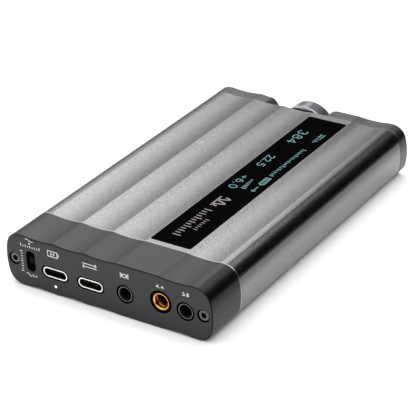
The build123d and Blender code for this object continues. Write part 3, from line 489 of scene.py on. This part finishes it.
def stroke_edges(points, width, closed):
    """Both edges of a flat stroke: two points for each point of its line, mitred at the corners."""
    edges = []
    count = len(points)
    for i, point in enumerate(points):
        before = points[i - 1] if i or closed else None
        after = points[(i + 1) % count] if i + 1 < count or closed else None
        first = (point - before).normalized() if before is not None else (after - point).normalized()
        last = (after - point).normalized() if after is not None else first
        along = (first + last).normalized() if (first + last).length > 0.1 else first
        overrun = Vector((0, 0))
        if before is None or after is None:
            overrun = along * (width * OVERRUN) * (-1 if before is None else 1)
        side = Vector((-along.y, along.x)) * (width / 2 / max(SHARPEST, along.dot(first)))
        edges.append((point + overrun + side, point + overrun - side))
    return edges


def marks(name, strokes, width, plane, material):
    """Raised flat strokes: each is a line of points in mm, drawn width wide.

    plane is (origin in m, direction of x, direction of y).
    """
    origin, across, up = (Vector(part) for part in plane)
    out = across.cross(up)
    mesh = bmesh.new()
    for stroke in strokes:
        points = [Vector(p) for p in stroke]
        closed = len(points) > 3 and (points[0] - points[-1]).length < 1e-6
        if closed:
            points.pop()
        rows = [[mesh.verts.new(origin + (across * p.x + up * p.y) * MM + out * level * MM)
                 for level in (MARK_LIFT, MARK_LIFT + MARK_THICK) for p in pair]
                for pair in stroke_edges(points, width, closed)]
        for a, b in list(zip(rows, rows[1:])) + ([(rows[-1], rows[0])] if closed else []):
            mesh.faces.new((a[2], b[2], b[3], a[3]))
            mesh.faces.new((a[0], a[1], b[1], b[0]))
            mesh.faces.new((a[0], b[0], b[2], a[2]))
            mesh.faces.new((a[1], a[3], b[3], b[1]))
        if not closed:
            mesh.faces.new([rows[0][i] for i in (0, 2, 3, 1)])
            mesh.faces.new([rows[-1][i] for i in (0, 1, 3, 2)])
    add_piece(name, mesh, material)


# prints on the socket face, in mm: x runs from the +X edge of the case, seen from behind, and y up from below
NINE_TICKS = (1, .5, .75, .5, .85, .5, .65, .5, 1)
REAR_STROKE = 0.23
rear_corner = (case_high.x, rear_y, case_low.z)
rear_face = (rear_corner, (-1, 0, 0), (0, 0, 1))
rear_upright = (rear_corner, (0, 0, 1), (1, 0, 0))       # the same face, with x running up
rear_marks = {
    "upper_curve": shelf_curve(8.1, 16.3, 2.7, 0.6),
    "plus": [[(9.2, 15.5), (9.7, 15.5)], [(9.45, 15.25), (9.45, 15.75)]],
    "upper_scale": tick_scale(6.1, 14.05, 7.0, 0.9, NINE_TICKS),
    "lower_curve": shelf_curve(7.5, 4.15, 1.8, 0.75) + tick_scale(9.9, 4.15, 1.3, 0.75, (1, .5, .8)),
    "charge_icon": [box_outline(16.35, 13.3, 19.9, 15.15), [(20.35, 13.75), (20.35, 14.7)]]
                   + bolt(17.6, 13.75, 0.95) + bolt(18.6, 13.75, 0.95),
    "data_icon": arrow(29.3, 14.55, 5.2, 0.55) + arrow(29.3, 13.55, 5.2, 0.55, -1),
    "digital_icon": [circle(44.5, 14.35, 0.62)] + [[(x, 14.35 - half), (x, 14.35 + half)] for x, half in (
        (43.15, 0.8), (43.55, 0.55), (45.45, 0.55), (45.85, 0.8))],
    "size_large": digits("4.4", 55.8, 13.85, 0.95, 2.6),
    "size_small": digits("3.5", 64.9, 13.85, 0.95, 2.2),
}
for name, strokes in rear_marks.items():
    marks("rear_print_" + name, strokes, REAR_STROKE, rear_face, white_ink)
marks("rear_print_side_scale", tick_scale(5.3, -6.4, 6.9, 0.85, NINE_TICKS), REAR_STROKE, rear_upright,
      white_ink)

# the window, in mm: x runs along it from the knob end, y across it from the +X edge of the case
window = ((case_high.x, front_y, glass_top), (0, 1, 0), (-1, 0, 0))


def on_window(from_rear, from_edge):
    """Window coordinates of a point, from its distances to the socket face and to the +X edge."""
    return (rear_y - front_y) / MM - from_rear, from_edge


x, y = on_window(102.8, 52.4)
source = digits("32", x, y, 1.7, 2.6) + tick_scale(x + 3.6, y, 2.6, 1.7, (1, .5, .8, .4))
x, y = on_window(67.5, 52.4)
battery = [box_outline(x, y, x + 4.6, y + 1.7), [(x + 5.1, y + 0.5), (x + 5.1, y + 1.2)]]
battery += tick_scale(x + 0.9, y + 0.4, 2.8, 0.9, (1, 1, 1, 1)) + arrow(x + 6.6, y + 0.85, 3.4, 0.7)
spectrum = (.9, .5, .6, .5, .8, .5, .6, .4, .7, .5, .6, .9, .5, .7, .5, .6, .5, .8)
lit_marks = {
    "format": (digits("384", *on_window(102.5, 44.6), 3.3, 9.8), 0.38),
    "rate": (digits("22.5", *on_window(81.8, 44.6), 2.8, 8.2), 0.32),
    "level": (digits("+6.0", *on_window(65.7, 44.6), 2.9, 9.2), 0.32),
    "gain_bars": (tick_scale(*on_window(64.0, 48.9), 6.0, 1.5, (.3, .4, .5, .6, .7, .85, 1)), 0.42),
    "source": (source, 0.3),
    "spectrum": (tick_scale(*on_window(90.0, 52.4), 20.5, 1.6, spectrum), 0.42),
    "battery": (battery, 0.36),
}
for name, (strokes, width) in lit_marks.items():
    marks("display_" + name, strokes, width, window, teal_pixels)

# printed on the window beside the lit area
x, y = on_window(50.0, 46.5)
wave = [(x + 6.0 * t / 24, y + 1.95 + 1.75 * sin(2 * pi * t / 12)) for t in range(25)]
window_marks = {
    "wave": ([wave, [(x, y), (x + 6.0, y)]], 0.55),
    "scale": (tick_scale(*on_window(40.7, 46.4), 17.5, 2.6, (1, .6, .8, .6) * 3 + (1,)), 0.42),
    "ticks": (tick_scale(*on_window(35.2, 50.3), 6.8, 1.3, (1, .6, .8, .6, .8, .6, 1)), 0.32),
}
for name, (strokes, width) in window_marks.items():
    marks("window_print_" + name, strokes, width, window, grey_ink)

# prints on the knob end, in mm: x runs from the -X edge, seen from that end, and y up from below
front_face = ((case_low.x, front_y, case_low.z), (1, 0, 0), (0, 0, 1))
phone, balanced, power, choose = (middle(node)[0] / MM + case_high.x / MM for node in (
    "headphone_jack", "balanced_headphone_jack", "power_button", "input_button"))
front_marks = {
    "size_small": digits("3.5", phone - 1.1, 13.3, 0.95, 2.2),
    "size_large": digits("4.4", balanced - 1.3, 14.0, 0.95, 2.6),
    "power_icon": [arc(power, 12.9, 0.6, 125, 415, 18), [(power, 12.95), (power, 13.75)]],
    "input_icon": arrow(choose - 0.8, 12.9, 1.5, 0.42) + [[(choose + 1.0, 12.3), (choose + 1.0, 13.5)]],
}
for name, strokes in front_marks.items():
    marks("front_print_" + name, strokes, 0.18, front_face, white_ink)

# the three places of the switch underneath: dots that grow
match_low, match_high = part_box("match_switch_slider")
match_middle = ((match_low.x + match_high.x) / 2, (match_low.y + match_high.y) / 2, case_low.z)
dots = [circle(3.2, place, 0.24 + 0.1 * i, 12) for i, place in enumerate((-2.0, 0.0, 2.0))]
marks("base_print_places", dots, 0.16, (match_middle, (-1, 0, 0), (0, 1, 0)), white_ink)


# ---------------------------------------------------------------- rings and contacts of the sockets
# profiles of turned rings, in mm: radius, and how far out from the mouth of the socket
LIP = ((2.24, 0.004), (2.27, 0.05), (2.36, 0.06), (2.42, 0.05), (2.44, 0.004))
SLEEVE = ((2.245, -1.0), (2.245, -4.4), (2.215, -4.4), (2.215, -1.0))
COLLAR = ((2.72, 0.004), (2.76, 0.05), (3.02, 0.03), (3.10, -0.06),
          (3.10, -0.27), (3.06, -0.27), (3.056, -0.24), (2.804, 0.004))
RING_STEPS = 64


def socket_ring(kind, node, mount, profile, material):
    """A smooth ring turned round the axis of a socket, which runs along Y."""
    x, y, z = places[mount]
    low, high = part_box(node)
    outwards, mouth = (1, high.y) if y > 0 else (-1, low.y)
    mesh = bmesh.new()
    rings = []
    for i in range(RING_STEPS):
        t = 2 * pi * i / RING_STEPS
        rings.append([mesh.verts.new((x + radius * MM * cos(t), mouth + outwards * rise * MM,
                                      z + radius * MM * sin(t))) for radius, rise in profile])
    for a, b in zip(rings, rings[1:] + rings[:1]):
        for j in range(len(profile)):
            k = (j + 1) % len(profile)
            mesh.faces.new((a[j], b[j], b[k], a[k]))
    for face in mesh.faces:
        face.smooth = True
    add_piece(node + kind, mesh, material)


for node, mount in (("digital_jack", "digital_input_socket"), ("line_jack", "line_socket"),
                    ("headphone_jack", "headphone_socket")):
    socket_ring("_lip", node, mount, LIP, lip_metal)
for node, mount in (("balanced_line_ring", "balanced_line_socket"),
                    ("balanced_headphone_ring", "balanced_headphone_socket")):
    socket_ring("_sleeve", node, mount, SLEEVE, shaded_sleeve_metal)
    socket_ring("_collar", node, mount, COLLAR, finishes["black_plastic"])

# contacts on both sides of the tongue in a USB socket, in mm
PAD_COUNT = 12
PAD_PITCH = 0.5
PAD_HALF = 0.13              # half the width, at the tongue
PAD_TAPER = 0.8              # the outer side's share of it
PAD_RISE = 0.355             # from the middle of the tongue, which is 0.7 thick
PAD_THICK = 0.02
PAD_START = 1.7              # in from the socket face
LONG_PADS = (0, 3, 8, 11)    # power and ground reach further out
LONG_START = 1.3
PAD_END = 4.8


def contact_pads(name, place, side):
    """The plated contacts on one side of a tongue: side is 1 above it and -1 below."""
    mesh = bmesh.new()
    z = place[2] + side * PAD_RISE * MM
    for i in range(PAD_COUNT):
        x = place[0] + (i - (PAD_COUNT - 1) / 2) * PAD_PITCH * MM
        ends = [rear_y - depth * MM for depth in (LONG_START if i in LONG_PADS else PAD_START, PAD_END)]
        inner, outer = ([mesh.verts.new((x + sx * PAD_HALF * MM * share, y, z + side * rise * MM))
                         for y in ends for sx in (-1, 1)]
                        for share, rise in ((1.0, 0.0), (PAD_TAPER, PAD_THICK)))
        mesh.faces.new([outer[corner] for corner in (0, 1, 3, 2)])
        mesh.faces.new([inner[corner] for corner in (0, 2, 3, 1)])
        for a, b in ((0, 1), (1, 3), (3, 2), (2, 0)):
            mesh.faces.new((inner[a], inner[b], outer[b], outer[a]))
    add_piece(name, mesh, pad_metal)


for plug in ("usb_power", "usb_data"):
    contact_pads(plug + "_pads_upper", places[plug + "_socket"], 1)
    contact_pads(plug + "_pads_lower", places[plug + "_socket"], -1)


# ---------------------------------------------------------------- camera, solved from the photograph's edges
CAMERA_PLACE = (-0.27318, 0.41008, 0.27265)
CAMERA_LOOK = (0.4923, -0.7287, -0.4760)
CAMERA_ROLL = 2.6            # degrees
CAMERA_LENS = 150.6          # mm, on a sensor 36 mm wide

camera = bpy.data.objects.new("camera", bpy.data.cameras.new("camera"))
scene.collection.objects.link(camera)
scene.camera = camera
camera.data.sensor_width = 36.0
camera.data.lens = CAMERA_LENS
camera.data.clip_start = 0.01
camera.data.clip_end = 50.0
look = Vector(CAMERA_LOOK).normalized()
right = Matrix.Rotation(radians(CAMERA_ROLL), 3, look) @ look.cross(Vector((0, 0, 1))).normalized()
turn = Matrix((right, right.cross(look), -look)).transposed().to_4x4()
camera.matrix_world = Matrix.Translation(CAMERA_PLACE) @ turn


# ---------------------------------------------------------------- stage and light
# bearings are in degrees round from the knob end towards +X, heights in degrees above the horizon
SKY_AT = (29.0, 35.0)        # at this height and bearing the light level is SKY_LEVEL
SKY_LEVEL = 1.58
SKY_RISE = 0.130             # how fast it grows with height, per degree
SKY_SWING = 0.035            # and with bearing, per degree, between these bearings
SWING_SPAN = (20.0, 48.0)
SKY_TOP = 2.45               # it grows no further than this
FLAG_TOP = (38.0, 58.0)      # a dark flag beyond the knob end, towards -X: its soft upper edge
FLAG_SIDE = (20.0, 29.0)     # its soft edge towards +X
FLAG_FAR = (-88.0, -72.0)    # and its soft edge towards -X
BACK_DIM = (70.0, 120.0)     # between these bearings, on both sides, the level falls by 1 - BACK_LEVEL
BACK_LEVEL = 0.60
WINDOWS = (                  # pale windows low in the flag: level, soft upper edge, soft +X and -X edges
    (0.80, (21.0, 31.0), (12.0, 24.0), (-17.0, -3.0)),
    (0.70, (15.0, 25.0), (-14.0, 0.0), (-52.0, -40.0)),
    (0.62, (26.0, 34.0), (-47.0, -37.0), (-94.0, -84.0)),
)
FILL_LEVEL = 0.42            # the least light from both sides and from behind, beyond FILL_SIDE
FILL_SIDE = (76.0, 94.0)
FILL_FOOT = (4.0, 15.0)      # and above this height
UNDER_LEVEL = 0.70           # the least light from below the horizon, where the floor hides it
UNDER_FADE = (-3.0, -12.0)
SURROUND = (1.0, 0.995, 0.998, 1)
BACKDROP = (0.98, 0.98, 0.98, 1)
SOFTBOX_PLACE = (-0.1, 0.05, 0.9)
SOFTBOX_SIZE = (1.4, 1.4)
SOFTBOX_POWER = 6.6          # watts
FLOOR_HALF = 6.0             # half the side of the floor, in metres
FLOOR_DROP = 0.0001          # how far it lies below the object, and the flat card above z = 0
CARD_GAP = 0.010             # a dark card on the -X side: how far off it stands
CARD_HEIGHT = 0.030
CARD_FADE = (0.0015, 0.0135) # it darkens between these heights
CARD_VEIL = 0.22             # how dark it is below them, and the flat card between it and the case
CARD_UNDER = 0.004           # how far the flat card reaches in under the case
CARD_ENDS = (-0.9, -0.45, 0.0, 0.25)   # both run along Y through these places


def plain_floor():
    """A pale matte sheet under the object."""
    f = Finish("floor_pale", Specular_IOR_Level=0.2)
    tone = f.mix(f.drift(f.noise(500 * MM, 2.0), 0.0, 1.0), (0.79, 0.79, 0.79), (0.82, 0.82, 0.82))
    f.set(Base_Color=tone, Roughness=f.drift(f.noise(2 * MM, 2.0), 0.75, 0.85))
    mesh = bmesh.new()
    bmesh.ops.create_grid(mesh, x_segments=24, y_segments=24, size=FLOOR_HALF)
    floor = mesh_object("floor", mesh, f.mat)
    floor.location.z = -FLOOR_DROP


def card(name, corners, material):
    """A flat stage panel through a grid of points, seen only in reflections and casting no shadow."""
    mesh = bmesh.new()
    rows = [[mesh.verts.new(point) for point in row] for row in corners]
    for low, high in zip(rows, rows[1:]):
        for i in range(len(low) - 1):
            mesh.faces.new((low[i], low[i + 1], high[i + 1], high[i]))
    panel = mesh_object(name, mesh, material)
    panel.visible_camera = panel.visible_diffuse = panel.visible_shadow = False


def dark_cards():
    """An upright and a flat dark card close to the -X side, whose reflections edge the side of the case."""
    f = Finish("card_black", Specular_IOR_Level=0.0)
    cover = f.span(f.axis(f.place, "Z"), *CARD_FADE, CARD_VEIL, 1.0, "LINEAR")
    tone = f.mottled((0.004, 0.004, 0.004), 20 * MM, 0.2)
    f.set(Base_Color=tone, Roughness=f.drift(f.noise(2 * MM), 0.8, 0.9), Alpha=cover)
    upright = [[(case_low.x - CARD_GAP, y, z) for y in CARD_ENDS] for z in (0.0, CARD_HEIGHT / 2, CARD_HEIGHT)]
    flat = [[(case_low.x - gap, y, FLOOR_DROP) for y in CARD_ENDS] for gap in (-CARD_UNDER, CARD_GAP)]
    card("card_upright", upright, f.mat)
    card("card_flat", flat, f.mat)


def studio_world():
    """Soft surround: bright overhead and towards +X, and a dark flag with pale windows on the other side.

    The camera sees a plain pale backdrop past the floor.
    """
    world = bpy.data.worlds.new("studio")
    world.use_nodes = True
    scene.world = world
    world.node_tree.nodes.clear()
    sky = Nodes(world.node_tree)

    def edge(value, limits):
        """0 below the limits, 1 above them, with a soft step between."""
        return sky.span(value, *limits)

    x, y, z = sky.node("ShaderNodeSeparateXYZ", sky.node("ShaderNodeTexCoord").outputs["Generated"]).outputs
    rise = sky.product(sky.calc("ARCSINE", z), 180 / pi)
    bearing = sky.product(sky.calc("ARCTAN2", x, sky.product(y, -1.0)), 180 / pi)
    aside = sky.calc("ABSOLUTE", bearing)
    swing = sky.calc("MINIMUM", sky.calc("MAXIMUM", bearing, SWING_SPAN[0]), SWING_SPAN[1])
    growth = sky.calc("ADD", sky.product(sky.calc("SUBTRACT", rise, SKY_AT[0]), SKY_RISE),
                      sky.product(sky.calc("SUBTRACT", swing, SKY_AT[1]), SKY_SWING))
    level = sky.calc("MINIMUM", sky.product(sky.calc("EXPONENT", growth), SKY_LEVEL), SKY_TOP)
    beside = sky.calc("MAXIMUM", edge(bearing, FLAG_SIDE), sky.inverse(edge(bearing, FLAG_FAR)))
    clear = sky.calc("MAXIMUM", edge(rise, FLAG_TOP), beside)
    level = sky.product(level, clear, sky.inverse(sky.product(edge(aside, BACK_DIM), 1.0 - BACK_LEVEL)))
    for strength, top, near, far in WINDOWS:
        pane = sky.product(sky.inverse(edge(rise, top)), sky.inverse(edge(bearing, near)), edge(bearing, far))
        level = sky.calc("MAXIMUM", level, sky.product(pane, strength))
    fill = sky.product(edge(aside, FILL_SIDE), edge(rise, FILL_FOOT))
    level = sky.calc("MAXIMUM", level, sky.product(fill, FILL_LEVEL))
    level = sky.calc("MAXIMUM", level, sky.product(edge(rise, UNDER_FADE), UNDER_LEVEL))
    surround = sky.node("ShaderNodeBackground", SURROUND, level)
    backdrop = sky.node("ShaderNodeBackground", BACKDROP)
    seen = sky.node("ShaderNodeLightPath").outputs["Is Camera Ray"]
    choose = sky.node("ShaderNodeMixShader", seen, surround.outputs[0], backdrop.outputs[0])
    sky.node("ShaderNodeOutputWorld", choose.outputs[0])


def softbox():
    """A large square lamp overhead that shows in no reflection."""
    data = bpy.data.lights.new("overhead", "AREA")
    data.shape = "RECTANGLE"
    data.size, data.size_y = SOFTBOX_SIZE
    data.energy = SOFTBOX_POWER
    lamp = bpy.data.objects.new("overhead", data)
    scene.collection.objects.link(lamp)
    lamp.location = SOFTBOX_PLACE
    lamp.rotation_euler = (-Vector(SOFTBOX_PLACE)).to_track_quat("-Z", "Y").to_euler()
    lamp.visible_glossy = False


plain_floor()
studio_world()
dark_cards()
softbox()
scene.view_settings.view_transform = "Standard"
